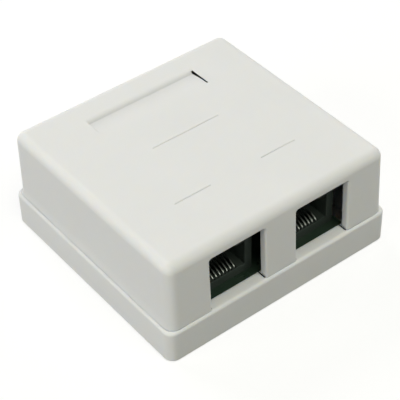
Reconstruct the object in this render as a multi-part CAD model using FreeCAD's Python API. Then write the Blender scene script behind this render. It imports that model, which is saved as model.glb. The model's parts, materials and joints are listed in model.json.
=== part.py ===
import FreeCAD, Part
import math
import os

from FreeCAD import Vector

# Two-port surface mount jack box for structured cabling.
#
# A moulded base is fixed to a wall or stands on a desk. It carries a circuit board with two
# eight-way modular jacks at the front edge and four four-way insulation-displacement blocks
# behind them. A moulded cover snaps over the base's tongue and leaves a window for each jack.
#
# Millimetres. The origin is at the centre of the base's underside. +Z goes up, out of the wall,
# and the ports face -Y.

# Case
case_width = 64.0
case_depth = 61.4
case_height = 27.1
plinth_height = 8.8
floor_thickness = 2.0
base_corner = 2.3
ledge_width = 0.95
front_ledge_width = 0.54
ledge_round = 0.8
foot_chamfer = 0.3

# Cover
cover_wall = 1.9
cover_top = 2.3
cover_round = 2.3
inner_corner = 1.0
side_lean = 0.22
front_lean = 0.7
flare_reach = 0.35
flare_height = 2.8
flare_root = 0.8
flare_setback = 0.05

# Lap joint: the cover's skin stands on the ledge outside the base's tongue
skin_thickness = 1.1
lap_gap = 0.15
tongue_thickness = 1.1
tongue_height = 2.0
tongue_front_gap = 11.0
lap_headroom = 0.25
front_relief = 0.35
front_lip = 0.4
bead_reach = 0.4
bead_half_height = 0.45
bead_clearance = 0.1
bead_length = 8.0
bead_rise = 1.2
bead_spacing = 22.0

# Port windows
port_pitch = 24.3
window_width = 15.4
window_top = 23.5
window_corner = 0.6
window_edge_chamfer = 0.35
sill_notch_width = 0.35
sill_notch_depth = 1.5
sill_notch_cover = 0.1

# Top of the cover
label_length = 31.2
label_back = 22.5
label_back_slope = 1.6
label_front_slope = 6.1
label_depth = 0.5
pry_slot_width = 0.45
pry_slot_length = 6.2
pry_slot_front = 15.4
pry_slot_lip = 0.12
pry_slot_undercut = 1.4
line_width = 0.3
line_depth = 0.14
centre_line_length = 19.0
centre_line_y = 4.0
port_line_length = 9.9
port_line_y = -14.1

# Cable knock-out in the cover's back wall
knockout_width = 11.0
knockout_height = 6.5
knockout_web = 0.8
score_width = 0.4
score_depth = 0.25

# Circuit board
board_thickness = 1.6
board_standoff = 4.6
board_depth = 44.0
board_side_margin = 1.25
board_lip = 2.5
board_gap = 0.25
board_corner = 1.0
rest_length = 5.0
rest_step = 1.2
rest_post = 1.2
rest_inset = 8.0
hook_reach = 0.7
hook_gap = 0.1
hook_height = 1.8

# Modular jack
jack_width = 15.8
jack_depth = 16.0
jack_height = 13.2
jack_edge_chamfer = 0.3
cavity_width = 11.9
cavity_height = 6.9
cavity_depth = 12.3
cavity_floor = 2.2
latch_width = 6.4
latch_height = 1.4
latch_slit_width = 4.2
latch_slit_height = 1.1
peg_radius = 1.1
peg_length = 3.0
peg_slit = 0.5
peg_setback = 6.4
hold_down_gap = 0.3
hold_down_width = 1.6
hold_down_length = 10.0

# Contact wires and the carrier that holds them
contact_count = 8
contact_pitch = 1.016
contact_width = 0.45
contact_thickness = 0.35
contact_rise = 25.0
contact_reach = 7.2
contact_nose = 0.7
contact_setback = 1.45
contact_run_height = 1.0
contact_fit = 0.05
contact_slot_fit = 0.1
lead_rows = (12.9, 15.3)
lead_length = 1.4
carrier_foot = 1.25
carrier_foot_width = 10.8
carrier_wall_width = 11.8
carrier_wall_height = 10.9
carrier_wall_thickness = 3.2
carrier_fit = 0.1

# Insulation-displacement blocks and blades
block_length = 15.6
block_depth = 7.4
block_height = 12.6
block_gap = 1.5
block_row_pitch = 11.5
way_count = 4
way_pitch = 3.6
wire_slot_width = 1.1
wire_slot_depth = 6.6
wire_slot_mouth = 2.0
wire_slot_lead = 1.4
tower_chamfer = 1.6
blade_width = 2.6
blade_thickness = 0.5
blade_height = 10.2
blade_fork_width = 0.3
blade_fork_depth = 4.6
blade_mouth = 1.3
blade_fit = 0.05
blade_pin_width = 0.7
blade_pin_length = 1.4

# Board screw
screw_shank = 1.15
screw_length = 5.2
screw_head = 2.7
screw_head_height = 1.8
screw_head_slope = 1.0
screw_fit = 0.05
screw_clearance = 0.4
screw_recess_width = 0.6
screw_recess_length = 2.8
screw_recess_depth = 1.0
boss_radius = 3.0

# Wall fixing, cable entry and underside
fixing_slot_width = 4.2
fixing_slot_length = 6.4
entry_width = 20.0
entry_depth = 7.6
entry_corner = 1.5
tie_bridge_x = 17.0
tie_bridge_width = 3.0
tie_bridge_length = 6.5
tie_bridge_height = 4.5
tie_tunnel_length = 3.6
tie_tunnel_height = 1.8
pad_recess_width = 16.0
pad_recess_length = 36.0
pad_recess_depth = 0.4
pad_recess_x = 11.5

lead_hole_gap = 0.15
overrun = 1.0


# Places worked out from the sizes above
front_y = -case_depth / 2
back_y = case_depth / 2
base_wall = ledge_width + skin_thickness + lap_gap + tongue_thickness
inner_x = case_width / 2 - base_wall
inner_front = front_y + base_wall
inner_back = back_y - base_wall
cover_ceiling = case_height - cover_top

board_underside = floor_thickness + board_standoff
board_top = board_underside + board_thickness
board_width = port_pitch + jack_width + 2 * board_side_margin
board_front = inner_front + board_gap
board_back = board_front + board_depth

port_centres = {"left": -port_pitch / 2, "right": port_pitch / 2}
jack_face = board_front + board_lip
jack_top = board_top + jack_height
block_front_y = jack_face + jack_depth + block_gap + block_depth / 2
block_rows = {"front": block_front_y, "back": block_front_y + block_row_pitch}
screw_y = block_rows["back"]
fixing_x = (board_width / 2 + inner_x) / 2
entry_y = (board_back + inner_back) / 2
tongue_front = inner_front + tongue_front_gap
contact_places = [(i - (contact_count - 1) / 2) * contact_pitch for i in range(contact_count)]
way_places = [(i - (way_count - 1) / 2) * way_pitch for i in range(way_count)]


def box(x0, x1, y0, y1, z0, z1):
    return Part.makeBox(x1 - x0, y1 - y0, z1 - z0, Vector(x0, y0, z0))


def centred_box(x, y, width, depth, z0, z1):
    return box(x - width / 2, x + width / 2, y - depth / 2, y + depth / 2, z0, z1)


def cylinder(x, y, radius, z0, z1):
    return Part.makeCylinder(radius, z1 - z0, Vector(x, y, z0))


def prism_along_x(outline, x0, x1):
    """A polygon of (y, z) corners carried along X."""
    points = [Vector(x0, y, z) for y, z in outline]
    return Part.Face(Part.makePolygon(points + points[:1])).extrude(Vector(x1 - x0, 0, 0))


def prism_along_y(outline, y0, y1):
    """A polygon of (x, z) corners carried along Y."""
    points = [Vector(x, y0, z) for x, z in outline]
    return Part.Face(Part.makePolygon(points + points[:1])).extrude(Vector(0, y1 - y0, 0))


def rounded_rectangle(x0, x1, y0, y1, radius, z):
    """A closed wire with four straight sides and four corner arcs."""
    half = radius * (1 - math.sqrt(0.5))
    corners = [
        ((x0 + radius, y0), (x1 - radius, y0), (x1 - half, y0 + half), (x1, y0 + radius)),
        ((x1, y0 + radius), (x1, y1 - radius), (x1 - half, y1 - half), (x1 - radius, y1)),
        ((x1 - radius, y1), (x0 + radius, y1), (x0 + half, y1 - half), (x0, y1 - radius)),
        ((x0, y1 - radius), (x0, y0 + radius), (x0 + half, y0 + half), (x0 + radius, y0)),
    ]
    edges = []
    for start, end, middle, after in corners:
        start, end, middle, after = (Vector(x, y, z) for x, y in (start, end, middle, after))
        edges.append(Part.makeLine(start, end))
        edges.append(Part.Arc(end, middle, after).toShape())
    return Part.Wire(edges)


def rounded_block(x0, x1, y0, y1, radius, z0, z1):
    wire = rounded_rectangle(x0, x1, y0, y1, radius, z0)
    return Part.Face(wire).extrude(Vector(0, 0, z1 - z0))


def round_ended_slot(x, y, length, width, z0, z1):
    """A slot along X with half-round ends."""
    reach = (length - width) / 2
    slot = centred_box(x, y, 2 * reach, width, z0, z1)
    for end in (x - reach, x + reach):
        slot = slot.fuse(cylinder(end, y, width / 2, z0, z1))
    return slot.removeSplitter()


def edges_where(shape, test):
    """The edges whose two ends and middle all pass a test on a point."""
    found = []
    for edge in shape.Edges:
        middle = edge.valueAt((edge.FirstParameter + edge.LastParameter) / 2)
        if all(test(point) for point in [middle] + [vertex.Point for vertex in edge.Vertexes]):
            found.append(edge)
    return found


def edges_at_height(shape, z):
    return edges_where(shape, lambda point: abs(point.z - z) < 1e-6)


def cut_all(shape, tools):
    return shape.cut(Part.makeCompound(tools)) if tools else shape


def fuse_all(shape, pieces):
    for piece in pieces:
        shape = shape.fuse(piece)
    return shape.removeSplitter()


# Cover


def cover_front(z, inset=0.0):
    """Y of the cover's leaning front face at a height, moved inwards by an inset."""
    rise = (z - plinth_height) / (case_height - plinth_height)
    return front_y + front_ledge_width + front_lean * rise + inset


def cover_side(z, inset=0.0):
    """How far the cover's leaning sides stand from the middle at a height."""
    rise = (z - plinth_height) / (case_height - plinth_height)
    return case_width / 2 - ledge_width - side_lean * rise - inset


def cover_back(z, inset=0.0):
    return cover_side(z, inset) + (case_depth - case_width) / 2


def tapered_block(inset, z0, z1):
    """A block whose four faces lean as the cover's do."""
    depth = [(cover_front(z0, inset), z0), (cover_back(z0, inset), z0)]
    depth += [(cover_back(z1, inset), z1), (cover_front(z1, inset), z1)]
    width = [(-cover_side(z0, inset), z0), (cover_side(z0, inset), z0)]
    width += [(cover_side(z1, inset), z1), (-cover_side(z1, inset), z1)]
    return prism_along_x(depth, -case_width, case_width).common(prism_along_y(width, -case_depth, case_depth))


def upright_edges(shape):
    return [edge for edge in shape.Edges if abs(edge.Vertexes[0].Z - edge.Vertexes[-1].Z) > overrun]


def foot_flare():
    """A cove round the cover's foot. Its front run lies inside the wall, so it dies out at the front corners."""
    side = cover_side(plinth_height + flare_height)
    back = cover_back(plinth_height + flare_height)
    front = cover_front(plinth_height) + flare_reach + flare_setback
    path = rounded_rectangle(-side, side, front, back, cover_round, plinth_height)
    start_x = cover_round - side
    top = plinth_height + flare_height
    radius = (flare_height**2 + flare_reach**2) / (2 * flare_reach)
    middle = math.asin(flare_height / radius) / 2
    foot = Vector(start_x, front - flare_reach, plinth_height)
    waist = Vector(start_x, front - radius * (1 - math.cos(middle)), top - radius * math.sin(middle))
    head = Vector(start_x, front, top)
    inner_head = Vector(start_x, front + flare_root, top)
    inner_foot = Vector(start_x, front + flare_root, plinth_height)
    edges = [Part.Arc(foot, waist, head).toShape(), Part.makeLine(head, inner_head)]
    edges += [Part.makeLine(inner_head, inner_foot), Part.makeLine(inner_foot, foot)]
    return path.makePipeShell([Part.Wire(edges)], True, False)


def cover_shell():
    outer = tapered_block(0, plinth_height, case_height)
    outer = outer.makeFillet(cover_round, upright_edges(outer) + edges_at_height(outer, case_height))
    outer = outer.fuse(foot_flare())
    hollow = tapered_block(cover_wall, plinth_height - overrun, cover_ceiling)
    return outer.cut(hollow.makeFillet(inner_corner, upright_edges(hollow)))


def lap_rebate():
    """Room inside the skin for the tongue, and a shallow relief along the front wall's foot."""
    side = case_width / 2 - ledge_width - skin_thickness
    front = front_y + front_ledge_width + front_lip
    back = back_y - ledge_width - skin_thickness
    radius = cover_round - skin_thickness
    foot = plinth_height - overrun
    full = rounded_block(-side, side, front, back, radius, foot, plinth_height + tongue_height + lap_headroom)
    full = full.common(box(-side, side, tongue_front - lap_headroom, back, 0, case_height))
    relief = rounded_block(-side, side, front, back, radius, foot, plinth_height + front_relief)
    return [full, relief]


def port_window(x):
    front = front_y - overrun
    inside = cover_front(window_top, cover_wall) + overrun
    window = centred_box(x, (front + inside) / 2, window_width, inside - front, plinth_height - overrun, window_top)
    corners = edges_where(
        window, lambda p: abs(p.z - window_top) < 1e-6 and abs(abs(p.x - x) - window_width / 2) < 1e-6
    )
    return window.makeFillet(window_corner, corners)


def bevel_window_edges(cover, x):
    """Break the sharp edges where a window meets the leaning front face."""

    def on_rim(point):
        near = abs(point.x - x) < window_width / 2 + 1e-6 and point.z < window_top + 1e-6
        return near and abs(point.y - cover_front(point.z)) < 1e-6

    return cover.makeChamfer(window_edge_chamfer, edges_where(cover, on_rim))


def slope_arc(edge_y, valley_y):
    """The arc in the YZ plane that leaves the top flush at edge_y and is label_depth deep at valley_y."""
    run = valley_y - edge_y
    radius = (run**2 + label_depth**2) / (2 * label_depth)
    turn = math.asin(run / radius) / 2
    middle = Vector(0, edge_y + radius * math.sin(turn), case_height - radius * (1 - math.cos(turn)))
    return Part.Arc(Vector(0, edge_y, case_height), middle, Vector(0, valley_y, case_height - label_depth)).toShape()


def label_recess():
    """A label bed between two slopes that curve down to a valley, and an undercut slot at its right end."""
    valley = label_back - label_back_slope
    label_front = valley - label_front_slope
    above = case_height + overrun
    corners = [(label_back, case_height), (label_back, above), (label_front, above), (label_front, case_height)]
    corners = [Vector(0, y, z) for y, z in corners]
    edges = [slope_arc(label_front, valley), slope_arc(label_back, valley)]
    edges += [Part.makeLine(start, end) for start, end in zip(corners, corners[1:])]
    outline = Part.Wire(Part.__sortEdges__(edges))
    bed = Part.Face(outline).extrude(Vector(label_length, 0, 0))
    bed.translate(Vector(-label_length / 2, 0, 0))
    right = label_length / 2
    left = right - pry_slot_width
    lip = case_height - pry_slot_lip
    floor = cover_ceiling - overrun
    slot = [(left, above), (right, above), (right, lip), (right + pry_slot_undercut, floor), (left, floor)]
    return [bed, prism_along_y(slot, pry_slot_front, pry_slot_front + pry_slot_length)]


def writing_lines():
    lines = [(0.0, centre_line_y, centre_line_length)]
    lines += [(x, port_line_y, port_line_length) for x in port_centres.values()]
    floor = case_height - line_depth
    return [centred_box(x, y, length, line_width, floor, case_height + overrun) for x, y, length in lines]


def knockout():
    """A thin panel in the back wall: a pocket inside, and a scored outline outside."""
    half = knockout_width / 2
    top = plinth_height + knockout_height
    outside = back_y - ledge_width - side_lean
    pocket = box(-half, half, outside - cover_wall - overrun, outside - knockout_web, 0, top)
    score = box(-half, half, outside - score_depth, back_y, 0, top).cut(
        box(-half + score_width, half - score_width, outside - overrun, back_y + overrun, 0, top - score_width)
    )
    return [pocket, score]


def beads(grow, length):
    """Snap ridges on the skin's inner face, two on each side: wedges with a lead-in both ways."""
    root = case_width / 2 - ledge_width - skin_thickness
    z = plinth_height + bead_rise
    reach = bead_reach + grow
    half = bead_half_height + grow
    middle = (tongue_front + inner_back) / 2
    ridges = []
    for side in (-1, 1):
        outline = [(side * (root + lap_gap), z - half - lap_gap), (side * (root - reach), z - half / 4)]
        outline += [(side * (root - reach), z + half / 4), (side * (root + lap_gap), z + half + lap_gap)]
        for end in (-1, 1):
            y = middle + end * bead_spacing / 2
            ridges.append(prism_along_y(outline, y - length / 2, y + length / 2))
    return ridges


def hold_downs():
    """Ribs under the top that keep each jack down on the board."""
    y = jack_face + jack_depth / 2
    foot = jack_top + hold_down_gap
    head = cover_ceiling + cover_top / 4
    return [centred_box(x, y, hold_down_width, hold_down_length, foot, head) for x in port_centres.values()]


def make_cover():
    cover = cover_shell()
    cover = cut_all(cover, lap_rebate())
    cover = cut_all(cover, [port_window(x) for x in port_centres.values()])
    for x in port_centres.values():
        cover = bevel_window_edges(cover, x)
    cover = cut_all(cover, knockout())
    cover = cut_all(cover, label_recess() + writing_lines())
    return fuse_all(cover, hold_downs() + beads(0, bead_length))


# Base


def base_tray():
    half = case_width / 2
    tray = rounded_block(-half, half, front_y, back_y, base_corner, 0, plinth_height)
    tray = tray.makeFillet(ledge_round, edges_at_height(tray, plinth_height))
    tray = tray.makeChamfer(foot_chamfer, edges_at_height(tray, 0))
    hollow = rounded_block(
        -inner_x, inner_x, inner_front, inner_back, inner_corner, floor_thickness, plinth_height + overrun
    )
    return tray.cut(hollow)


def tongue():
    """The upstand that the cover's skin fits over, along both sides and the back."""
    top = plinth_height + tongue_height
    sink = plinth_height - overrun
    outer_x = inner_x + tongue_thickness
    ring = rounded_block(
        -outer_x,
        outer_x,
        inner_front - tongue_thickness,
        inner_back + tongue_thickness,
        inner_corner + tongue_thickness,
        sink,
        top,
    )
    ring = ring.cut(rounded_block(-inner_x, inner_x, inner_front, inner_back, inner_corner, 0, case_height))
    ring = ring.common(box(-outer_x, outer_x, tongue_front, back_y, sink, top))
    gap = knockout_width / 2 + lap_headroom
    return ring.cut(box(-gap, gap, inner_back - overrun, back_y, plinth_height, top + overrun))


def board_rest(side, y, hooked):
    """A stepped post: its step carries the board's edge, and its post keeps the edge in line."""
    edge = board_width / 2
    face = edge + board_gap
    outside = face + rest_post
    outline = [
        (edge - rest_step, floor_thickness - overrun),
        (outside, floor_thickness - overrun),
        (outside, board_top + hook_height),
        (face, board_top + hook_height),
        (edge - hook_reach, board_top + hook_gap + hook_reach),
        (edge - hook_reach, board_top + hook_gap),
        (face, board_top + hook_gap),
        (face, board_underside),
        (edge - rest_step, board_underside),
    ]
    if not hooked:
        outline = outline[:2] + [(outside, board_top), (face, board_top)] + outline[-2:]
    outline = [(side * x, z) for x, z in outline]
    return prism_along_y(outline, y - rest_length / 2, y + rest_length / 2)


def board_rests():
    """Two plain rests near the jacks and two hooked ones, which the board snaps under, at the back."""
    rests = []
    for side in (-1, 1):
        rests.append(board_rest(side, board_front + rest_inset, False))
        rests.append(board_rest(side, board_back - rest_inset, True))
    return rests


def screw_boss():
    return cylinder(0, screw_y, boss_radius, floor_thickness - overrun, board_underside)


def pilot_hole():
    depth = screw_length - board_thickness + screw_clearance
    return cylinder(0, screw_y, screw_shank + screw_fit, board_underside - depth, board_underside + overrun)


def fixing_slots():
    """Slots for the wall screws, open from the underside to the inside."""
    z0, z1 = -overrun, floor_thickness + overrun
    return [round_ended_slot(x, 0, fixing_slot_length, fixing_slot_width, z0, z1) for x in (-fixing_x, fixing_x)]


def cable_entry():
    half, reach = entry_width / 2, entry_depth / 2
    z0, z1 = -overrun, floor_thickness + overrun
    return rounded_block(-half, half, entry_y - reach, entry_y + reach, entry_corner, z0, z1)


def tie_bridges():
    """Low arches that a cable tie passes through."""
    bridges = []
    top = floor_thickness + tie_bridge_height
    for x in (-tie_bridge_x, tie_bridge_x):
        arch = centred_box(x, entry_y, tie_bridge_width, tie_bridge_length, floor_thickness / 2, top)
        tunnel_top = floor_thickness + tie_tunnel_height
        tunnel_width = tie_bridge_width + overrun
        tunnel = centred_box(x, entry_y, tunnel_width, tie_tunnel_length, floor_thickness, tunnel_top)
        bridges.append(arch.cut(tunnel))
    return bridges


def pad_recesses():
    """Shallow beds in the underside for two adhesive pads."""
    width, length = pad_recess_width, pad_recess_length
    return [centred_box(x, 0, width, length, -overrun, pad_recess_depth) for x in (-pad_recess_x, pad_recess_x)]


def sill_notches():
    """Narrow notches at both ends of each window's sill, where the cover's jambs come down."""
    notches = []
    front = front_y + front_ledge_width + front_lip
    floor = plinth_height - sill_notch_depth
    for x in port_centres.values():
        for side in (-1, 1):
            outside = x + side * (window_width / 2 + sill_notch_cover)
            inside = outside - side * sill_notch_width
            x0, x1 = sorted((inside, outside))
            notches.append(box(x0, x1, front, inner_front + overrun, floor, plinth_height + overrun))
    return notches


def make_base():
    base = fuse_all(base_tray(), [tongue(), screw_boss()] + board_rests() + tie_bridges())
    base = cut_all(base, [pilot_hole(), cable_entry()] + fixing_slots() + sill_notches())
    base = cut_all(base, pad_recesses())
    return cut_all(base, beads(bead_clearance, bead_length + 2 * lap_headroom))


# Circuit board


def peg_places():
    """The jack's two pegs stand in its side rails, either side of the carrier's foot."""
    across = (carrier_foot_width / 2 + carrier_fit + jack_width / 2) / 2
    return [(x + side * across, jack_face + peg_setback) for x in port_centres.values() for side in (-1, 1)]


def lead_places():
    places = []
    for x in port_centres.values():
        for i, offset in enumerate(contact_places):
            places.append((x + offset, jack_face + lead_rows[i % 2]))
    return places


def blade_places():
    return [(x + way, y) for x in port_centres.values() for y in block_rows.values() for way in way_places]


def make_board():
    half = board_width / 2
    board = rounded_block(-half, half, board_front, board_back, board_corner, board_underside, board_top)
    z0, z1 = board_underside - overrun, board_top + overrun
    holes = [cylinder(0, screw_y, screw_shank + screw_clearance, z0, z1)]
    holes += [cylinder(x, y, peg_radius + lead_hole_gap, z0, z1) for x, y in peg_places()]
    lead = contact_width + 2 * lead_hole_gap
    holes += [centred_box(x, y, lead, lead, z0, z1) for x, y in lead_places()]
    pin = blade_pin_width + 2 * lead_hole_gap
    holes += [centred_box(x, y, pin, pin, z0, z1) for x, y in blade_places()]
    return cut_all(board, holes)


def make_screw():
    """A pan-head screw with a cross recess, turned about its own axis."""
    tip = board_top - screw_length
    head = board_top + screw_head_height
    rim = board_top + screw_head_height / 3
    profile = [(0, tip), (screw_shank, tip), (screw_shank, board_top), (screw_head, board_top), (screw_head, rim)]
    profile += [(screw_head - screw_head_slope, head), (0, head)]
    outline = [Vector(x, 0, z) for x, z in profile]
    outline = Part.makePolygon(outline + outline[:1])
    screw = Part.Face(outline).revolve(Vector(0, 0, 0), Vector(0, 0, 1), 360)
    floor = head - screw_recess_depth
    arms = [(screw_recess_length, screw_recess_width), (screw_recess_width, screw_recess_length)]
    recess = [centred_box(0, 0, width, depth, floor, head + overrun) for width, depth in arms]
    screw = screw.cut(recess[0].fuse(recess[1]))
    screw.translate(Vector(0, screw_y, 0))
    return screw


# Modular jack


def jack_cavity(x):
    """The plug's cavity: full width for the plug, and two steps above it for the latch."""
    floor = board_top + cavity_floor
    top = floor + cavity_height
    latch_top = top + latch_height
    slit_top = latch_top + latch_slit_height
    half = [cavity_width / 2, latch_width / 2, latch_slit_width / 2]
    right = [(half[0], floor), (half[0], top), (half[1], top), (half[1], latch_top)]
    right += [(half[2], latch_top), (half[2], slit_top)]
    left = [(-across, z) for across, z in reversed(right)]
    outline = [(x + across, z) for across, z in right + left]
    return prism_along_y(outline, jack_face - overrun, jack_face + cavity_depth)


def jack_pegs(x):
    """Split pegs that snap into the board."""
    pegs = []
    for peg_x, peg_y in peg_places():
        if abs(peg_x - x) < jack_width / 2:
            peg = cylinder(peg_x, peg_y, peg_radius, board_top - peg_length, board_top + cavity_floor / 2)
            slit = centred_box(
                peg_x, peg_y, peg_slit, 4 * peg_radius, board_top - peg_length - overrun, board_underside
            )
            pegs.append(peg.cut(slit))
    return pegs


def make_housing(x):
    back = jack_face + jack_depth
    housing = centred_box(x, (jack_face + back) / 2, jack_width, jack_depth, board_top, jack_top)
    front_edges = edges_where(housing, lambda p: abs(p.y - jack_face) < 1e-6 and p.z > board_top)
    housing = housing.makeChamfer(jack_edge_chamfer, front_edges)
    foot_half = carrier_foot_width / 2 + carrier_fit
    foot_front = jack_face + contact_setback - contact_nose - contact_thickness - carrier_fit
    foot_top = board_top + carrier_foot + carrier_fit
    tools = [jack_cavity(x)]
    tools.append(box(x - foot_half, x + foot_half, foot_front, back + overrun, board_top - overrun, foot_top))
    rear_half = carrier_wall_width / 2 + carrier_fit
    rear_front = back - carrier_wall_thickness - carrier_fit
    rear_top = board_top + carrier_wall_height + carrier_fit
    tools.append(box(x - rear_half, x + rear_half, rear_front, back + overrun, board_top - overrun, rear_top))
    slot_width = contact_width + 2 * contact_slot_fit
    slot_back = jack_face + contact_setback + contact_reach + contact_nose
    slot_y = (foot_front + slot_back) / 2
    for offset in contact_places:
        tools.append(
            centred_box(
                x + offset, slot_y, slot_width, slot_back - foot_front, board_top, board_top + cavity_floor + overrun
            )
        )
    housing = cut_all(housing, tools)
    return fuse_all(housing, jack_pegs(x))


def make_carrier(x):
    """The insert that holds the wires: a grooved foot under the cavity and a wall behind it."""
    back = jack_face + jack_depth
    front = jack_face + contact_setback + contact_nose / 2
    foot = centred_box(x, (front + back) / 2, carrier_foot_width, back - front, board_top, board_top + carrier_foot)
    wall_front = back - carrier_wall_thickness
    wall = centred_box(
        x,
        (wall_front + back) / 2,
        carrier_wall_width,
        carrier_wall_thickness,
        board_top,
        board_top + carrier_wall_height,
    )
    carrier = fuse_all(foot, [wall])
    groove_width = contact_width + 2 * contact_fit
    run = board_top + contact_run_height
    groove_floor = run - contact_thickness / 2 - contact_fit
    groove_roof = run + contact_thickness / 2 + contact_fit
    open_top = board_top + carrier_foot + overrun
    tools = []
    for i, offset in enumerate(contact_places):
        x0, x1 = x + offset - groove_width / 2, x + offset + groove_width / 2
        lead_y = jack_face + lead_rows[i % 2]
        lead_front = lead_y - contact_thickness / 2 - contact_fit
        lead_back = lead_y + contact_thickness / 2 + contact_fit
        tools.append(box(x0, x1, front - overrun, lead_back, groove_floor, groove_roof))
        tools.append(box(x0, x1, front - overrun, wall_front, groove_floor, open_top))
        tools.append(box(x0, x1, lead_front, lead_back, board_top - overrun, groove_roof))
    return cut_all(carrier, tools)


def bend(centre_y, centre_z, radius, start, end):
    """An arc in the YZ plane between two angles, in degrees from +Y towards +Z."""
    angles = [math.radians(angle) for angle in (start, (start + end) / 2, end)]
    points = [
        Vector(0, centre_y + radius * math.cos(angle), centre_z + radius * math.sin(angle)) for angle in angles
    ]
    return Part.Arc(*points).toShape()


def contact_path(lead_y):
    """From the lead's end up through the board, forwards under the cavity, round the nose and back up."""
    lead_end = board_underside - lead_length
    run = board_top + contact_run_height
    nose_y = jack_face + contact_setback
    nose_z = run + contact_nose
    rise = math.radians(contact_rise)
    edges = [
        Part.makeLine(Vector(0, lead_y, lead_end), Vector(0, lead_y, run)),
        Part.makeLine(Vector(0, lead_y, run), Vector(0, nose_y, run)),
        bend(nose_y, nose_z, contact_nose, 270, 90 + contact_rise),
    ]
    start = Vector(0, nose_y - contact_nose * math.sin(rise), nose_z + contact_nose * math.cos(rise))
    end = start + Vector(0, contact_reach * math.cos(rise), contact_reach * math.sin(rise))
    edges.append(Part.makeLine(start, end))
    return Part.Wire(edges)


def make_contact(x, lead_y):
    """One spring wire: its flat section is carried along the path."""
    half = contact_width / 2
    lead_end = board_underside - lead_length
    section = Part.makePolygon(
        [
            Vector(-half, lead_y - contact_thickness / 2, lead_end),
            Vector(half, lead_y - contact_thickness / 2, lead_end),
            Vector(half, lead_y + contact_thickness / 2, lead_end),
            Vector(-half, lead_y + contact_thickness / 2, lead_end),
            Vector(-half, lead_y - contact_thickness / 2, lead_end),
        ]
    )
    contact = contact_path(lead_y).makePipeShell([section], True, False, 1)
    contact.translate(Vector(x, 0, 0))
    return contact


def make_contact_row(x, row):
    """The wires of one row of leads: every second one."""
    lead_y = jack_face + lead_rows[row]
    places = [offset for i, offset in enumerate(contact_places) if i % 2 == row]
    return Part.makeCompound([make_contact(x + offset, lead_y) for offset in places])


# Insulation-displacement blocks


def block_outline():
    """The comb seen from the front: towers with pointed slots between them, as (x, height) corners."""
    half = block_length / 2
    floor = block_height - wire_slot_depth
    throat = block_height - wire_slot_lead
    outline = [(-half, 0), (half, 0), (half, block_height)]
    for way in reversed(way_places):
        outline += [
            (way + wire_slot_mouth / 2, block_height),
            (way + wire_slot_width / 2, throat),
            (way + wire_slot_width / 2, floor),
            (way - wire_slot_width / 2, floor),
            (way - wire_slot_width / 2, throat),
            (way - wire_slot_mouth / 2, block_height),
        ]
    return outline + [(-half, block_height)]


def make_block(x, y):
    """The comb, its tower tops bevelled front and back, with a pocket for each blade."""
    outline = [(x + across, board_top + height) for across, height in block_outline()]
    block = prism_along_y(outline, y - block_depth / 2, y + block_depth / 2)
    top = board_top + block_height
    tools = []
    for side in (-1, 1):
        face = y + side * block_depth / 2
        bevel = [(face, top - 2 * tower_chamfer), (face, top + overrun), (face - side * tower_chamfer, top + overrun)]
        bevel.append((face - side * tower_chamfer, top))
        tools.append(prism_along_x(bevel, x - block_length, x + block_length))
    pocket_width = blade_width + 2 * blade_fit
    pocket_depth = blade_thickness + 2 * blade_fit
    pocket_top = board_top + blade_height + blade_fit
    for way in way_places:
        tools.append(centred_box(x + way, y, pocket_width, pocket_depth, board_top - overrun, pocket_top))
    return cut_all(block, tools)


def make_blade(x, y):
    """A flat forked blade on a pin that goes through the board."""
    half = blade_width / 2
    seat = board_top + blade_fit
    top = board_top + blade_height
    fork = blade_fork_width / 2
    crotch = top - blade_fork_depth
    pin = blade_pin_width / 2
    right = [
        (pin, board_underside - blade_pin_length),
        (pin, seat),
        (half, seat),
        (half, top),
        (blade_mouth / 2, top),
        (fork, top - blade_mouth),
        (fork, crotch),
    ]
    left = [(-across, z) for across, z in reversed(right)]
    outline = [(x + across, z) for across, z in right + left]
    return prism_along_y(outline, y - blade_thickness / 2, y + blade_thickness / 2)


def make_blades(x, y):
    return Part.makeCompound([make_blade(x + way, y) for way in way_places])


def build():
    parts = {
        "base": make_base(),
        "cover": make_cover(),
        "circuit_board": make_board(),
        "board_screw": make_screw(),
    }
    for side, x in port_centres.items():
        parts[f"jack_housing_{side}"] = make_housing(x)
        parts[f"contact_carrier_{side}"] = make_carrier(x)
        parts[f"front_row_contacts_{side}"] = make_contact_row(x, 0)
        parts[f"rear_row_contacts_{side}"] = make_contact_row(x, 1)
        for row, y in block_rows.items():
            parts[f"idc_block_{side}_{row}"] = make_block(x, y)
            parts[f"idc_blades_{side}_{row}"] = make_blades(x, y)
    return parts


os.makedirs("parts", exist_ok=True)
for node, shape in build().items():
    shape.exportStep(f"parts/{node}.step")
    valid = "valid" if shape.isValid() else "NOT VALID"
    print(f"{node}: {len(shape.Solids)} solid(s), {shape.Volume:.1f} mm3, {valid}")
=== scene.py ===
import json
import math

import bpy
import numpy as np
from mathutils import Matrix, Vector


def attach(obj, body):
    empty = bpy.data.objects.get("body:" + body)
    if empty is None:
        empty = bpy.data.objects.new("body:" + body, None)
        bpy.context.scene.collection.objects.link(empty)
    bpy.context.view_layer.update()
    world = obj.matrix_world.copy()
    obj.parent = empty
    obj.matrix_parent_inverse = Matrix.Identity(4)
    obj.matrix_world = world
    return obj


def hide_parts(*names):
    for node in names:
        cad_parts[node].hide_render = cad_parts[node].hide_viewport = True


MM = 0.001

# Camera: where it stands round the object's origin, in degrees and metres, and its lens in millimetres
CAMERA_AZIMUTH = -37.018
CAMERA_ELEVATION = 43.127
CAMERA_ROLL = -1.716
CAMERA_DISTANCE = 0.32886
CAMERA_LENS = 122.71
CAMERA_SENSOR = 36.0
CAMERA_SHIFT = (0.0016, 0.0674)
CAMERA_CLIP = (0.01, 20.0)

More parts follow.
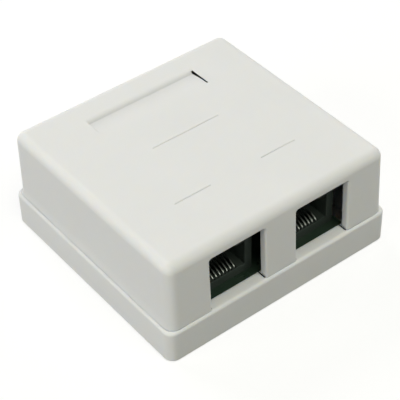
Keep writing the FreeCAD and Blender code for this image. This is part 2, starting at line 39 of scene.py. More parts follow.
# Lamps: all of one size and distance, in metres. Each has its azimuth and elevation, watts and colour
LAMP_DISTANCE = 1.2
LAMP_SIZE = 0.9
LAMPS = {
    "front": (0.0, 60.0, 8.5, (0.985, 1.0, 0.88)),
    "back": (180.0, 28.0, 7.1, (0.99, 0.98, 1.0)),
    "left": (-92.0, 21.0, 7.7, (0.99, 1.0, 0.955)),
    "right": (92.0, 25.0, 4.5, (0.99, 0.98, 1.0)),
}
WHITE = (1.0, 1.0, 1.0)
SKY_COLOUR = (1.0, 0.99, 0.97)
SKY_STRENGTH = 0.004

# Floor, in metres: its glow is lower near the object, and fades up to white between two distances
FLOOR_REACH = 3.0
FLOOR_COLOUR = (0.35, 0.35, 0.345)
FLOOR_GLOW = 0.71
FLOOR_FADE = (0.15, 0.7)

# Case, in millimetres: the cover's top, its label recess, the depth of its fine lines, and the base's ledge
CASE_TOP = 27.1
LABEL_FRONT = 14.8
LABEL_VALLEY = 20.9
LABEL_BACK = 22.5
LABEL_HALF = 15.6
LABEL_DEPTH = 0.5
LINE_DEPTH = 0.14
LEDGE_LEVEL = 8.8

# Where the case's colour is painted darker as shade, in millimetres. Each limit names a distance, says where
# along it there is none and where it is full, and gives the least share that the limit leaves. The shallow
# set keeps the painted shade of the recess and the lines off all that lies deeper
SHALLOW_SHADE = (
    ("z", CASE_TOP - 1.4 * LABEL_DEPTH, CASE_TOP - 1.2 * LABEL_DEPTH, 0.0),
)
LABEL_SHADE = (
    ("z", CASE_TOP, CASE_TOP - LABEL_DEPTH, 0.0),
    ("y", LABEL_FRONT, LABEL_FRONT + 1.0, 0.0),
    ("y", LABEL_BACK + 0.2, LABEL_BACK, 0.0),
    ("y", LABEL_VALLEY - 0.1, LABEL_VALLEY + 0.2, 0.65),
    ("from_middle", LABEL_HALF + 0.1, LABEL_HALF - 0.1, 0.0),
)
LINE_SHADE = (
    ("z", CASE_TOP - 0.02, CASE_TOP - LINE_DEPTH, 0.0),
    ("y", 6.0, 5.0, 0.0),
    ("y", -17.0, -16.0, 0.0),
    ("from_middle", 19.0, 18.0, 0.0),
)
SLOT_SHADE = (
    ("z", CASE_TOP - 0.1, CASE_TOP - 0.3, 0.0),
    ("z", CASE_TOP - 3.0, CASE_TOP - 2.5, 0.0),
    ("x", 14.95, 15.1, 0.0),
    ("x", 17.75, 17.6, 0.0),
    ("y", LABEL_FRONT, LABEL_FRONT + 0.5, 0.0),
    ("y", LABEL_BACK, LABEL_BACK - 0.5, 0.0),
)
NOTCH_SHADE = (
    ("z", LEDGE_LEVEL, LEDGE_LEVEL - 0.15, 0.0),
    ("z", LEDGE_LEVEL - 1.9, LEDGE_LEVEL - 1.7, 0.0),
    ("from_port", 7.41, 7.45, 0.0),
    ("from_port", 7.84, 7.8, 0.0),
    ("y", -29.9, -29.8, 0.0),
    ("y", -26.8, -26.9, 0.0),
)

# Circuit board, in millimetres
BOARD_TOP = 8.2
BOARD_UNDERSIDE = 6.6
BOARD_SCREW = (0.0, 8.05)

# What is on the board, in millimetres: the ring under the screw, the tracks and the printed outlines
PAD_INNER = 2.3
PAD_OUTER = 3.5
PAD_HEIGHT = 0.05
PAD_CROWN = 6.0
PAD_SIDES = 64
TRACK_WIDTH = 0.34
TRACK_HEIGHT = 0.05
TRACK_START = 0.3
TRACK_FAN_OUT = -8.9
TRACK_END = 0.6
LEGEND_WIDTH = 0.18
LEGEND_HEIGHT = 0.02
LEGEND_GAP = 0.35

# Section of a flat strip on the board: shares of its width to the left and of its height above the board
STRIP_PROFILE = np.array(((0.5, -0.4), (0.5, 0.4), (0.36, 1.0), (-0.36, 1.0), (-0.5, 0.4), (-0.5, -0.4)))

# Jacks, in millimetres: their middles, their face, and how far behind it the two rows of wires pass the board
PORTS = {"left": -12.15, "right": 12.15}
JACK_FACE = -24.65
LEAD_ROWS = {"front": 12.9, "rear": 15.3}

# Contact wires, in millimetres and degrees: their section and how much of it each end loses, the lead below
# the board, the level of the run forward, the round nose and how far it stands back from the jack's face, the
# spring's length and slope, and the depths behind that face between which the wire's colour is painted dark,
# as shade
CONTACTS = 8
WIRE_PITCH = 1.016
WIRE_RADIUS = 0.19
WIRE_SIDES = 12
WIRE_TAPER = 0.8
LEAD_LENGTH = 1.4
WIRE_ELBOW = 0.3
WIRE_RUN = 9.2
WIRE_NOSE = 0.7
WIRE_SETBACK = 1.45
WIRE_REACH = 7.2
WIRE_RISE = 25.0
WIRE_SHADE_DEPTHS = (1.2, 2.6)

# Insulation-displacement blocks, in millimetres: two rows of them, four ways in each block, and the lanes by
# which the tracks pass the front row on their way to the back one
BLOCK_ROWS = {"front": -3.45, "back": 8.05}
BLOCK_LENGTH = 15.6
BLOCK_DEPTH = 7.4
WAYS = 4
WAY_PITCH = 3.6
BACK_ROW_LANES = (-WAY_PITCH, 0.0, WAY_PITCH, 7.15)


# Shapes worked out on grids


def grid_faces(rows, columns, closed):
    """Four-sided faces between a grid's neighbouring points. Its columns join up, and its rows if closed."""
    row, column = np.meshgrid(np.arange(rows if closed else rows - 1), np.arange(columns), indexing="ij")
    here, below = row * columns, (row + 1) % rows * columns
    after = (column + 1) % columns
    return np.stack((here + column, here + after, below + after, below + column), axis=-1).reshape(-1, 4)


def make_piece(name, grids, material, body, closed=False):
    """
    One piece from several grids of the same size, an array (part, row, column, 3) in millimetres. The columns
    turn right-handed about the way that the rows run, so that faces point outwards. The rows join up if
    closed, and otherwise the first and last get an end face each.
    """
    count, rows, columns, _ = grids.shape
    starts = np.arange(count)[:, None] * rows * columns
    faces = (grid_faces(rows, columns, closed) + starts[..., None]).reshape(-1, 4).tolist()
    if not closed:
        ring = np.arange(columns)
        faces += (ring[::-1] + starts).tolist()
        faces += (ring + (rows - 1) * columns + starts).tolist()
    mesh = bpy.data.meshes.new(name)
    mesh.from_pydata((grids.reshape(-1, 3) * MM).tolist(), [], faces)
    mesh.update()
    mesh.shade_smooth()
    mesh.materials.append(material)
    obj = bpy.data.objects.new(name, mesh)
    bpy.context.scene.collection.objects.link(obj)
    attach(obj, body)
    return obj


def centred(count, pitch):
    """Places of so many things a pitch apart, spread evenly about zero."""
    return (np.arange(count) - (count - 1) / 2) * pitch


def circle(steps):
    """Angles in radians that go once round, without the last, which would repeat the first."""
    return np.linspace(0.0, 2.0 * np.pi, steps, endpoint=False)


def arc(centre, radius, start, end, steps):
    """Points round a centre, from one angle to another in degrees, as (steps, 2)."""
    angle = np.radians(np.linspace(start, end, steps))
    return np.asarray(centre) + radius * np.stack((np.cos(angle), np.sin(angle)), axis=-1)


def wire_route(lead_y):
    """
    One contact wire seen from the side, as (y, z) points. A straight lead up through the board, a quarter
    turn, a run forward, a round nose and a straight spring that slopes back up into the plug's place.
    """
    nose_centre = (JACK_FACE + WIRE_SETBACK, WIRE_RUN + WIRE_NOSE)
    elbow_centre = (lead_y - WIRE_ELBOW, WIRE_RUN - WIRE_ELBOW)
    lead = np.linspace((lead_y, BOARD_UNDERSIDE - LEAD_LENGTH), (lead_y, elbow_centre[1]), 6)[:-1]
    elbow = arc(elbow_centre, WIRE_ELBOW, 0.0, 90.0, 6)
    run = np.linspace(elbow[-1], (nose_centre[0], WIRE_RUN), 8)[1:-1]
    nose = arc(nose_centre, WIRE_NOSE, 270.0, 90.0 + WIRE_RISE, 16)
    rise = math.radians(WIRE_RISE)
    tip = nose[-1] + WIRE_REACH * np.array((math.cos(rise), math.sin(rise)))
    spring = np.linspace(nose[-1], tip, 13)[1:]
    return np.concatenate((lead, elbow, run, nose, spring))


def contact_wires(side, row, material):
    """
    Round spring wires, every second contact of a jack. A circle is carried along the side view of the route,
    in the plane square to it. Its radius shrinks along part of an ellipse over a wire's width at each end.
    """
    route = wire_route(JACK_FACE + LEAD_ROWS[row])
    along = np.gradient(route, axis=0)
    along /= np.linalg.norm(along, axis=1)[:, None]
    step = np.linalg.norm(np.diff(route, axis=0), axis=1)
    travelled = np.concatenate(([0.0], np.cumsum(step)))
    from_end = np.minimum(travelled, travelled[-1] - travelled)
    near = np.clip(1.0 - from_end / (2.0 * WIRE_RADIUS), 0.0, 1.0)
    radius = WIRE_RADIUS * np.sqrt(1.0 - WIRE_TAPER * near**2)
    across = radius[:, None] * np.cos(circle(WIRE_SIDES))
    outward = radius[:, None] * np.sin(circle(WIRE_SIDES))
    y = route[:, :1] + outward * along[:, 1:]
    z = route[:, 1:] - outward * along[:, :1]
    wire = np.stack((across, y, z), axis=-1)
    first = list(LEAD_ROWS).index(row)
    places = PORTS[side] + centred(CONTACTS, WIRE_PITCH)[first::2]
    grids = np.repeat(wire[None], len(places), axis=0)
    grids[..., 0] += places[:, None, None]
    piece = make_piece(f"{row}_row_wires_{side}", grids, material, "case")
    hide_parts(f"{row}_row_contacts_{side}")


def ribbons(paths, width, height, closed=False):
    """
    Flat strips on the board, one for each path of (x, y) points. A low bevelled profile is carried along, and
    each corner is mitred: its sideways step is the mean of its two sides, lengthened to keep the width.
    """
    ahead = np.roll(paths, -1, axis=1) - paths
    behind = paths - np.roll(paths, 1, axis=1)
    if not closed:
        ahead[:, -1] = behind[:, -1]
        behind[:, 0] = ahead[:, 0]
    ahead /= np.linalg.norm(ahead, axis=2)[..., None]
    behind /= np.linalg.norm(behind, axis=2)[..., None]
    mean = ahead + behind
    mean /= np.linalg.norm(mean, axis=2)[..., None]
    stretch = 1.0 / np.sum(mean * ahead, axis=2)[..., None]
    sideways = np.stack((-mean[..., 1], mean[..., 0]), axis=-1) * stretch
    flat = paths[:, :, None] + sideways[:, :, None] * (STRIP_PROFILE[:, 0] * width)[:, None]
    level = np.broadcast_to(BOARD_TOP + STRIP_PROFILE[:, 1] * height, flat.shape[:3])
    return np.concatenate((flat, level[..., None]), axis=-1)


def board_tracks(material):
    """Copper tracks under the green lacquer, each from a jack lead back to its way with a slanting jog."""
    front = np.arange(CONTACTS) % 2 == 0
    lead_x = centred(CONTACTS, WIRE_PITCH)
    lane_x = np.where(front, np.repeat(centred(WAYS, WAY_PITCH), 2), np.repeat(BACK_ROW_LANES, 2))
    start_y = JACK_FACE + np.where(front, LEAD_ROWS["front"], LEAD_ROWS["rear"]) + TRACK_START
    end_y = np.where(front, BLOCK_ROWS["front"], BLOCK_ROWS["back"] - BLOCK_DEPTH / 2) - TRACK_END
    jog = np.abs(lane_x - lead_x)
    levels = (start_y, np.full(CONTACTS, TRACK_FAN_OUT), TRACK_FAN_OUT + jog, end_y)
    places = (lead_x, lead_x, lane_x, lane_x)
    one_port = np.stack((np.stack(places, axis=1), np.stack(levels, axis=1)), axis=-1)
    both = np.concatenate([one_port + (x, 0.0) for x in PORTS.values()])
    grids = ribbons(both, TRACK_WIDTH, TRACK_HEIGHT)
    return make_piece("board_tracks", grids, material, "case")


def board_legend(material):
    """The printed outline round each block: a rectangle a little larger than the block's foot."""
    half = np.array((BLOCK_LENGTH, BLOCK_DEPTH)) / 2 + LEGEND_GAP
    corners = np.array(((-1, -1), (1, -1), (1, 1), (-1, 1))) * half
    places = [(x, y) for x in PORTS.values() for y in BLOCK_ROWS.values()]
    paths = np.array(places)[:, None] + corners
    grids = ribbons(paths, LEGEND_WIDTH, LEGEND_HEIGHT, closed=True)
    return make_piece("board_legend", grids, material, "case", closed=True)


def screw_pad(material):
    """
    A bare ring of tinned copper under the screw's head. A low profile is turned round the screw: its top
    rises and falls as a parabola, cut off flat at the ring's height, and its underside lies in the board.
    """
    turn = circle(PAD_SIDES)[:, None]
    share = np.linspace(0.0, 1.0, 7)
    radius = PAD_INNER + (PAD_OUTER - PAD_INNER) * share
    crown = BOARD_TOP + PAD_HEIGHT * np.minimum(1.0, PAD_CROWN * share * (1.0 - share))
    radius = np.concatenate((radius, radius[[-1, 0]]))
    crown = np.concatenate((crown, [BOARD_TOP - PAD_HEIGHT] * 2))
    x = BOARD_SCREW[0] + radius * np.cos(turn)
    y = BOARD_SCREW[1] + radius * np.sin(turn)
    ring = np.stack((x, y, np.broadcast_to(crown, x.shape)), axis=-1)
    return make_piece("screw_pad", ring[None], material, "case", closed=True)


# Node helpers


def new_material(name):
    """A material with a principled shader and nothing else, its tree and that shader."""
    material = bpy.data.materials.new(name)
    material.use_nodes = True
    tree = material.node_tree
    tree.nodes.clear()
    shader = tree.nodes.new("ShaderNodeBsdfPrincipled")
    node(tree, "ShaderNodeOutputMaterial", {"Surface": shader.outputs["BSDF"]})
    return material, tree, shader


def feed(tree, socket, value):
    """Gives a socket a value, or links another socket to it. A colour is three numbers, and is opaque."""
    if isinstance(value, bpy.types.NodeSocket):
        tree.links.new(value, socket)
    elif socket.type == "RGBA":
        socket.default_value = (*value, 1.0)
    else:
        socket.default_value = value


def node(tree, kind, inputs=None, **settings):
    """A new node with its settings, and with each named input given a value or linked to a socket."""
    made = tree.nodes.new(kind)
    for key, value in settings.items():
        setattr(made, key, value)
    for key, value in (inputs or {}).items():
        feed(tree, made.inputs[key], value)
    return made


def sums(tree, operation, *values):
    """Arithmetic on one value, two or three."""
    return node(tree, "ShaderNodeMath", dict(enumerate(values)), operation=operation).outputs[0]


def place(tree):
    """The point's place in the object's own metres."""
    return node(tree, "ShaderNodeTexCoord").outputs["Object"]


def axes(tree, vector):
    """A vector's x, y and z."""
    return node(tree, "ShaderNodeSeparateXYZ", {"Vector": vector}).outputs


def noise(tree, scale, detail=3.0, roughness=0.5, stretch=None):
    """Noise in the object's own metres, scale in cycles per metre. A stretch draws it out along an axis."""
    point = place(tree)
    if stretch is not None:
        point = node(tree, "ShaderNodeMapping", {"Vector": point, "Scale": stretch}).outputs["Vector"]
    inputs = {"Vector": point, "Scale": scale, "Detail": detail, "Roughness": roughness}
    return node(tree, "ShaderNodeTexNoise", inputs).outputs["Fac"]


def remap(tree, value, low, high, to_low, to_high):
    """Carries the range from low to high over to another range, and holds what lies beyond at its ends."""
    inputs = {"Value": value, "From Min": low, "From Max": high, "To Min": to_low, "To Max": to_high}
    return node(tree, "ShaderNodeMapRange", inputs).outputs["Result"]


def mix_colour(tree, factor, first, second):
    """The first colour where the factor is 0, and the second where it is 1."""
    made = node(tree, "ShaderNodeMix", data_type="RGBA")
    for index, value in ((0, factor), (6, first), (7, second)):
        feed(tree, made.inputs[index], value)
    return made.outputs[2]


def bump(tree, height, distance, strength=1.0, normal=None):
    """A normal tilted by the slope of a height, which is in metres once multiplied by the distance."""
    inputs = {"Height": height, "Distance": distance, "Strength": strength}
    if normal is not None:
        inputs["Normal"] = normal
    return node(tree, "ShaderNodeBump", inputs).outputs["Normal"]


# Effects that several finishes share


def new_effect(name, inputs, outputs):
    """A shader node group with named number inputs and named outputs of a given socket type."""
    group = bpy.data.node_groups.new(name, "ShaderNodeTree")
    for label, value in inputs.items():
        socket = group.interface.new_socket(label, in_out="INPUT", socket_type="NodeSocketFloat")
        socket.default_value = value
    for label, kind in outputs.items():
        group.interface.new_socket(label, in_out="OUTPUT", socket_type=f"NodeSocket{kind}")
    given = group.nodes.new("NodeGroupInput").outputs
    result = group.nodes.new("NodeGroupOutput").inputs
    return group, given, result


def fine_grain():
    """The spark-eroded texture of a mould: where its small pits lie, and how matt it is here and there."""
    inputs = {"Scale": 3500.0, "Smooth": 0.34, "Matt": 0.44}
    group, given, result = new_effect("fine_grain", inputs, {"Height": "Float", "Roughness": "Float"})
    grain = noise(group, given["Scale"], 2.0)
    broad = noise(group, 130.0, 2.0)
    both = sums(group, "MULTIPLY_ADD", broad, 0.35, grain)
    feed(group, result["Height"], grain)
    feed(group, result["Roughness"], remap(group, both, 0.45, 0.9, given["Smooth"], given["Matt"]))
    return group


def edge_wear():
    """
    Rounds the look of an edge and finds it: the normal is the mean of the surface within the radius, and
    the mask grows where that turns away from the true one, broken up by noise.
    """
    inputs = {"Radius": 0.25 * MM, "Amount": 0.5}
    group, given, result = new_effect("edge_wear", inputs, {"Mask": "Float", "Normal": "Vector"})
    rounded = node(group, "ShaderNodeBevel", {"Radius": given["Radius"]}, samples=6).outputs["Normal"]
    true = node(group, "ShaderNodeNewGeometry").outputs["True Normal"]
    both = {0: rounded, 1: true}
    alike = node(group, "ShaderNodeVectorMath", both, operation="DOT_PRODUCT").outputs["Value"]
    turned = remap(group, alike, 0.995, 0.85, 0.0, 1.0)
    patchy = remap(group, noise(group, 700.0, 4.0), 0.4, 0.6, 0.3, 1.0)
    worn = sums(group, "MULTIPLY", sums(group, "MULTIPLY", turned, patchy), given["Amount"])
    feed(group, result["Mask"], worn)
    feed(group, result["Normal"], rounded)
    return group


def settled_dust():
    """Dust on faces that look up: the upward share of the normal, broken up by coarse and fine noise."""
    group, given, result = new_effect("settled_dust", {"Amount": 0.1}, {"Mask": "Float"})
    upward = axes(group, node(group, "ShaderNodeNewGeometry").outputs["Normal"])["Z"]
    settled = remap(group, upward, 0.4, 1.0, 0.0, 1.0)
    patches = remap(group, noise(group, 160.0, 5.0, 0.65), 0.4, 0.65, 0.2, 1.0)
    amount = sums(group, "MULTIPLY", sums(group, "MULTIPLY", settled, patches), given["Amount"])
    feed(group, result["Mask"], amount)
    return group


def limited(group, amount, distances, limits):
    """Multiplies an amount by a ramp for each limit: a named distance, its two ends and the least share."""
    for name, none, full, least in limits:
        ramp = remap(group, distances[name], none * MM, full * MM, least, 1.0)
        amount = sums(group, "MULTIPLY", amount, ramp)
    return amount


def case_painted_shade():
    """
    Shade painted into the case's colour. Each mask is a product of ramps in the object's own place: the label
    recess by depth, deeper on its back slope, the writing lines, and the near black painted shade inside the
    slot and the sill notches.
    """
    inputs = {"Recess": 0.2, "Lines": 0.1, "Slot": 1.0}
    group, given, result = new_effect("case_painted_shade", inputs, {"Soft Shade Mask": "Float", "Dark Shade Mask": "Float"})
    x, y, z = axes(group, place(group))
    from_middle = sums(group, "ABSOLUTE", x)
    from_port = sums(group, "ABSOLUTE", sums(group, "SUBTRACT", from_middle, PORTS["right"] * MM))
    distances = {"x": x, "y": y, "z": z, "from_middle": from_middle, "from_port": from_port}
    patches = remap(group, noise(group, 600.0, 3.0), 0.3, 0.7, 0.85, 1.0)
    soft = []
    for amount, limits in ((given["Recess"], LABEL_SHADE), (given["Lines"], LINE_SHADE)):
        patchy = sums(group, "MULTIPLY", amount, patches)
        soft.append(limited(group, patchy, distances, SHALLOW_SHADE + limits))
    dark = [limited(group, given["Slot"], distances, limits) for limits in (SLOT_SHADE, NOTCH_SHADE)]
    feed(group, result["Soft Shade Mask"], sums(group, "MAXIMUM", *soft))
    feed(group, result["Dark Shade Mask"], sums(group, "MAXIMUM", *dark))
    return group


def apply_effect(tree, group, **values):
    """Places a shared effect in a tree with its own values, and gives its outputs."""
    made = tree.nodes.new("ShaderNodeGroup")
    made.node_tree = group
    for label, value in values.items():
        feed(tree, made.inputs[label], value)
    return made.outputs


# Finishes


def finish_plastic(tree, shader, effects, colours, grain, wear, dust, mottle):
    """
    A moulded plastic. colours are its darker and lighter tone, its worn edge and its dust. grain is the
    texture's scale, depth, smooth and matt roughness; wear its radius and amount; mottle the tone's scale.
    """
    dark, light, worn, dusty = colours
    scale, depth, smooth, matt = grain
    textured = apply_effect(tree, effects["grain"], Scale=scale, Smooth=smooth, Matt=matt)
    edges = apply_effect(tree, effects["wear"], Radius=wear[0], Amount=wear[1])
    dusted = apply_effect(tree, effects["dust"], Amount=dust)
    tone = mix_colour(tree, remap(tree, noise(tree, mottle, 4.0), 0.35, 0.65, 0.0, 1.0), dark, light)
    tone = mix_colour(tree, edges["Mask"], tone, worn)
    duller = sums(tree, "MULTIPLY_ADD", dusted["Mask"], 0.5, textured["Roughness"])
    feed(tree, shader.inputs["Base Color"], mix_colour(tree, dusted["Mask"], tone, dusty))
    feed(tree, shader.inputs["Roughness"], duller)
    feed(tree, shader.inputs["Normal"], bump(tree, textured["Height"], depth, 0.4, edges["Normal"]))


def case_plastic(effects):
    """Warm white moulded plastic, a little translucent, so light bleeds over its edges, with shade painted
    into its hollows.
    """
    material, tree, shader = new_material("case_plastic")
    colours = (0.8, 0.8, 0.802), (0.814, 0.812, 0.816), (0.84, 0.84, 0.84), (0.74, 0.735, 0.715)
    grain = (3500.0, 0.01 * MM, 0.5, 0.62)
    finish_plastic(tree, shader, effects, colours, grain, wear=(0.3 * MM, 0.4), dust=0.05, mottle=60.0)
    clean = shader.inputs["Base Color"].links[0].from_socket
    # The case's colour is painted darker, as shade, in the label recess and the writing lines, and near
    # black, as shade, inside the slot and the sill notches.
    painted_shade = apply_effect(tree, case_painted_shade(), Recess=0.22, Lines=0.11, Slot=1.0)
    shaded_colour = mix_colour(tree, painted_shade["Soft Shade Mask"], clean, (0.08, 0.08, 0.075))
    shaded_colour = mix_colour(tree, painted_shade["Dark Shade Mask"], shaded_colour, (0.012, 0.011, 0.01))
    feed(tree, shader.inputs["Base Color"], shaded_colour)
    shader.inputs["IOR"].default_value = 1.5
    shader.inputs["Specular IOR Level"].default_value = 0.35
    shader.subsurface_method = "RANDOM_WALK"
    shader.inputs["Subsurface Weight"].default_value = 1.0
    shader.inputs["Subsurface Radius"].default_value = (1.0, 0.9, 0.75)
    shader.inputs["Subsurface Scale"].default_value = 0.7 * MM
    return material


def jack_plastic(effects):
    """Black moulding given a greenish grey cast, for the jacks and their contact carriers."""
    material, tree, shader = new_material("jack_plastic")
    colours = (0.033, 0.045, 0.037), (0.043, 0.056, 0.047), (0.06, 0.07, 0.062), (0.2, 0.2, 0.19)
    grain = (6000.0, 0.008 * MM, 0.42, 0.56)
    finish_plastic(tree, shader, effects, colours, grain, wear=(0.15 * MM, 0.5), dust=0.05, mottle=300.0)
    shader.inputs["Specular IOR Level"].default_value = 0.3
    return material


def block_plastic(effects):
    """Black moulding of the wiring blocks, a little glossier than the jacks."""
    material, tree, shader = new_material("block_plastic")
    colours = (0.017, 0.018, 0.019), (0.024, 0.025, 0.026), (0.07, 0.07, 0.07), (0.2, 0.2, 0.19)
    grain = (5000.0, 0.01 * MM, 0.3, 0.42)
    finish_plastic(tree, shader, effects, colours, grain, wear=(0.2 * MM, 0.6), dust=0.08, mottle=300.0)
    return material


def board_lacquer(name, effects, dark, light):
    """Green solder lacquer over woven glass: the weave shows faintly as two crossed waves."""
    material, tree, shader = new_material(name)
    wave = {"Vector": place(tree), "Scale": 500.0, "Distortion": 1.5, "Detail": 1.0}
    bands = [node(tree, "ShaderNodeTexWave", wave, bands_direction=axis).outputs["Fac"] for axis in "XY"]
    weave = sums(tree, "MULTIPLY", *bands)
    dusted = apply_effect(tree, effects["dust"], Amount=0.06)
    edges = apply_effect(tree, effects["wear"], Radius=0.12 * MM, Amount=0.5)
    cloud = remap(tree, noise(tree, 220.0, 3.0), 0.3, 0.7, 0.0, 1.0)
    tone = mix_colour(tree, sums(tree, "MULTIPLY", weave, cloud), dark, light)
    tone = mix_colour(tree, edges["Mask"], tone, (0.16, 0.17, 0.09))
    feed(tree, shader.inputs["Base Color"], mix_colour(tree, dusted["Mask"], tone, (0.24, 0.24, 0.22)))
    feed(tree, shader.inputs["Roughness"], remap(tree, cloud, 0.0, 1.0, 0.26, 0.38))
    feed(tree, shader.inputs["Normal"], bump(tree, weave, 0.01 * MM, 0.4, edges["Normal"]))
    return material


def printed_ink(effects):
    """White ink of the board's printed outlines, thin and slightly patchy."""
    material, tree, shader = new_material("printed_ink")
    patchy = remap(tree, noise(tree, 1500.0, 3.0), 0.35, 0.65, 0.0, 1.0)
    textured = apply_effect(tree, effects["grain"], Scale=5000.0, Smooth=0.5, Matt=0.65)
    feed(tree, shader.inputs["Base Color"], mix_colour(tree, patchy, (0.5, 0.53, 0.49), (0.68, 0.69, 0.66)))
    feed(tree, shader.inputs["Roughness"], textured["Roughness"])
    feed(tree, shader.inputs["Normal"], bump(tree, textured["Height"], 0.005 * MM, 0.5))
    return material


def plated_metal(name, effects, colour, roughness, stretch):
    """Plated metal: streaks drawn out along its length, darker in the scratches and brighter on its edges."""
    material, tree, shader = new_material(name)
    shader.inputs["Metallic"].default_value = 1.0
    streak = noise(tree, 1500.0, 4.0, 0.6, stretch)
    edges = apply_effect(tree, effects["wear"], Radius=0.08 * MM, Amount=0.7)
    dark = [0.8 * channel for channel in colour]
    bright = [min(1.0, 1.12 * channel) for channel in colour]
    tone = mix_colour(tree, remap(tree, streak, 0.35, 0.65, 0.0, 1.0), dark, colour)
    feed(tree, shader.inputs["Base Color"], mix_colour(tree, edges["Mask"], tone, bright))
    feed(tree, shader.inputs["Roughness"], remap(tree, streak, 0.3, 0.7, roughness - 0.06, roughness + 0.08))
    feed(tree, shader.inputs["Normal"], bump(tree, streak, 0.004 * MM, 0.3, edges["Normal"]))
    return material


def contact_plating(effects):
    """Plated spring wire: bright round the nose, where a plug touches, and painted near black further back,
    as shade.
    """
    material = plated_metal("contact_plating", effects, (0.42, 0.45, 0.4), 0.36, (1.0, 0.1, 0.3))
    tree = material.node_tree
    base = next(item for item in tree.nodes if item.type == "BSDF_PRINCIPLED").inputs["Base Color"]
    # Behind the nose the wire's colour is painted near black, as the shade deep in the jack.
    shade_begins, shade_full = [(JACK_FACE + depth) * MM for depth in WIRE_SHADE_DEPTHS]
    wire_shade = remap(tree, axes(tree, place(tree))["Y"], shade_begins, shade_full, 0.0, 0.93)
    feed(tree, base, mix_colour(tree, wire_shade, base.links[0].from_socket, (0.035, 0.04, 0.035)))
    return material


def make_finishes():
    """Every finish of the object, by the record's material slot, and those of the pieces added here."""
    effects = {"grain": fine_grain(), "wear": edge_wear(), "dust": settled_dust()}
    return {
        "case": case_plastic(effects),
        "jack": jack_plastic(effects),
        "block": block_plastic(effects),
        "board": board_lacquer("board_lacquer", effects, (0.012, 0.03, 0.017), (0.018, 0.042, 0.023)),
        "tracks": board_lacquer("track_lacquer", effects, (0.02, 0.055, 0.03), (0.028, 0.075, 0.038)),
        "ink": printed_ink(effects),
        "contacts": contact_plating(effects),
        "blades": plated_metal("blade_tin", effects, (0.72, 0.72, 0.7), 0.3, (1.0, 1.0, 0.15)),
        "screws": plated_metal("screw_zinc", effects, (0.62, 0.63, 0.64), 0.28, (1.0, 1.0, 1.0)),
    }


def dress_nodes(frame, finishes):
    """Gives each node of the model the finish of its material slot."""
    slots = {entry["node"]: entry["material_slot"] for entry in frame["record"]["subparts"]}
    for name, obj in frame["nodes"].items():
        finish = finishes[slots[name]]
        if not obj.material_slots:
            obj.data.materials.append(finish)
        for material_slot in obj.material_slots:
            material_slot.material = finish


# Floor, lights and camera


def shown_white(tree, hidden, white):
    """A white shader for camera, glossy and transmitted rays, and a hidden one for rays that carry light."""
    path = node(tree, "ShaderNodeLightPath").outputs
    seen = path["Is Camera Ray"]
    for kind in ("Is Glossy Ray", "Is Transmission Ray"):
        seen = sums(tree, "MAXIMUM", seen, path[kind])
    return node(tree, "ShaderNodeMixShader", {0: seen, 1: hidden, 2: white}).outputs[0]


def floor():
    """A plain pale sheet that the object stands on. It keeps a shadow, and further out it turns to white."""
    mesh = bpy.data.meshes.new("floor")
    corners = [(x * FLOOR_REACH, y * FLOOR_REACH, 0.0) for x, y in ((-1, -1), (1, -1), (1, 1), (-1, 1))]
    mesh.from_pydata(corners, [], [(0, 1, 2, 3)])
    obj = bpy.data.objects.new("floor", mesh)
    bpy.context.scene.collection.objects.link(obj)
    material = bpy.data.materials.new("floor")
    material.use_nodes = True
    tree = material.node_tree
    tree.nodes.clear()
    diffuse = node(tree, "ShaderNodeBsdfDiffuse", {"Color": FLOOR_COLOUR}).outputs[0]
    dark = node(tree, "ShaderNodeEmission", {"Strength": 0.0}).outputs[0]
    away = node(tree, "ShaderNodeVectorMath", {0: place(tree)}, operation="LENGTH").outputs["Value"]
    strength = remap(tree, away, *FLOOR_FADE, FLOOR_GLOW, 1.0)
    glow = node(tree, "ShaderNodeEmission", {"Strength": strength}).outputs[0]
    both = node(tree, "ShaderNodeAddShader", {0: diffuse, 1: shown_white(tree, dark, glow)}).outputs[0]
    node(tree, "ShaderNodeOutputMaterial", {"Surface": both})
    mesh.materials.append(material)


def sky():
    """Faint light from all round, over a white that only the camera, reflections and clear parts see."""
    world = bpy.data.worlds.new("sky")
    bpy.context.scene.world = world
    world.use_nodes = True
    tree = world.node_tree
    tree.nodes.clear()
    light = node(tree, "ShaderNodeBackground", {"Color": SKY_COLOUR, "Strength": SKY_STRENGTH}).outputs[0]
    white = node(tree, "ShaderNodeBackground", {"Color": WHITE, "Strength": 1.0}).outputs[0]
    node(tree, "ShaderNodeOutputWorld", {"Surface": shown_white(tree, light, white)})


def direction(azimuth, elevation):
    """From the origin towards a place: azimuth 0 is in front, along -Y, and 90 is along +X."""
    turn, rise = math.radians(azimuth), math.radians(elevation)
    return Vector((math.sin(turn) * math.cos(rise), -math.cos(turn) * math.cos(rise), math.sin(rise)))


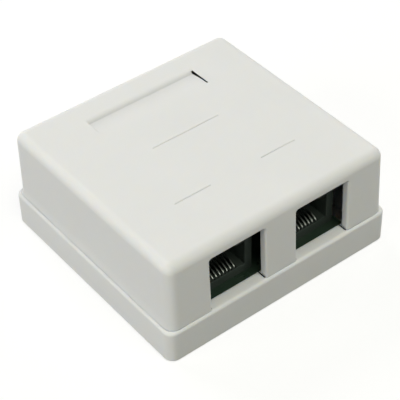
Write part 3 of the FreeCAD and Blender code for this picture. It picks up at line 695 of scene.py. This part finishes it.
def area_light(name, azimuth, elevation, power, colour):
    """A square lamp that stands round the origin, as the camera does, and faces it."""
    data = bpy.data.lights.new(name, "AREA")
    data.shape = "SQUARE"
    data.size = LAMP_SIZE
    data.energy = power
    data.color = colour
    obj = bpy.data.objects.new(name, data)
    bpy.context.scene.collection.objects.link(obj)
    back = direction(azimuth, elevation)
    obj.location = back * LAMP_DISTANCE
    obj.rotation_mode = "QUATERNION"
    obj.rotation_quaternion = (-back).to_track_quat("-Z", "Y")


def camera():
    """The camera looks at the origin from its azimuth and elevation, rolled a little about its own line."""
    back = direction(CAMERA_AZIMUTH, CAMERA_ELEVATION)
    turn = math.radians(CAMERA_AZIMUTH)
    level = Vector((math.cos(turn), math.sin(turn), 0.0))
    upright = back.cross(level)
    roll = math.radians(CAMERA_ROLL)
    right = math.cos(roll) * level + math.sin(roll) * upright
    up = math.cos(roll) * upright - math.sin(roll) * level
    data = bpy.data.cameras.new("camera")
    data.sensor_width = CAMERA_SENSOR
    data.lens = CAMERA_LENS
    data.shift_x, data.shift_y = CAMERA_SHIFT
    data.clip_start, data.clip_end = CAMERA_CLIP
    obj = bpy.data.objects.new("camera", data)
    bpy.context.scene.collection.objects.link(obj)
    turned = Matrix((right, up, back)).transposed().to_4x4()
    obj.matrix_world = Matrix.Translation(back * CAMERA_DISTANCE) @ turned
    bpy.context.scene.camera = obj


def stage():
    """Everything round the object."""
    floor()
    sky()
    for name, lamp in LAMPS.items():
        area_light(name, *lamp)
    camera()
    bpy.context.scene.view_settings.view_transform = "Standard"


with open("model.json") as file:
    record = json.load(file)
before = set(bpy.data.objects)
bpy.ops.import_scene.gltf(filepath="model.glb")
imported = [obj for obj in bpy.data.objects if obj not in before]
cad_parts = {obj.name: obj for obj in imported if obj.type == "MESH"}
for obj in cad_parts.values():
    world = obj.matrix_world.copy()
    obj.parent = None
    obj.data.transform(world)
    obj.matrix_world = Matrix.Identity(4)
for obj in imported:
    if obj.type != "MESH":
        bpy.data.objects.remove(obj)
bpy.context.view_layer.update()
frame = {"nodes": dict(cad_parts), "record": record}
finishes = make_finishes()
dress_nodes(frame, finishes)
for side in PORTS:
    for row in LEAD_ROWS:
        contact_wires(side, row, finishes["contacts"])
board_tracks(finishes["tracks"])
board_legend(finishes["ink"])
# The ring shares the wires' finish and lies behind the jacks, so it takes their painted shade and shows near
# black.
screw_pad(finishes["contacts"])
stage()
